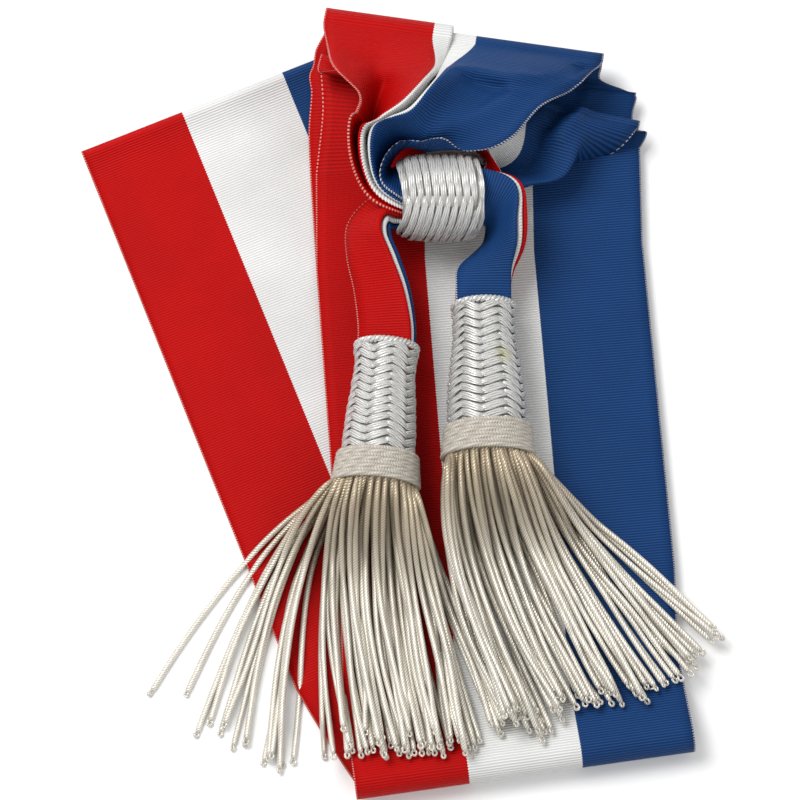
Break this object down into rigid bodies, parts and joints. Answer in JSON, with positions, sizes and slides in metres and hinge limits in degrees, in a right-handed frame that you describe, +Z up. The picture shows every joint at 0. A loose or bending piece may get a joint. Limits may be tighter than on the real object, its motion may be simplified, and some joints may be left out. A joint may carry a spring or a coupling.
{
  "type": "mayoral sash",
  "caption": "Tricolour ribbon sash laid flat as a double loop, gathered through a woven slide, its two straps ending in corded tassels.",
  "frame": {"origin": "on the floor under the lowest layer of the left leg, near the middle of the laid sash", "axes": "+Y along the legs from the bottom roll to the top folds, +Z up from the floor, +X to the right"},
  "size_m": [0.2296, 0.29, 0.0451],
  "materials": {
    "ribbon": "woven grosgrain, red, white and blue",
    "slide": "braided metallic cord, silver-grey",
    "tassel_head_left": "knitted silver-white thread",
    "tassel_head_right": "knitted silver-white thread",
    "tassel_collar_left": "crocheted cord, pale bronze",
    "tassel_collar_right": "crocheted cord, pale bronze",
    "fringe_left": "twisted metallic cords",
    "fringe_right": "twisted metallic cords"
  },
  "bodies": {
    "root": {"ribbon": "ribbon", "slide": "slide", "tassel_head_left": "tassel_head_left", "tassel_head_right": "tassel_head_right", "tassel_collar_left": "tassel_collar_left", "tassel_collar_right": "tassel_collar_right", "fringe_left": "fringe_left", "fringe_right": "fringe_right"}
  },
  "joints": []
}
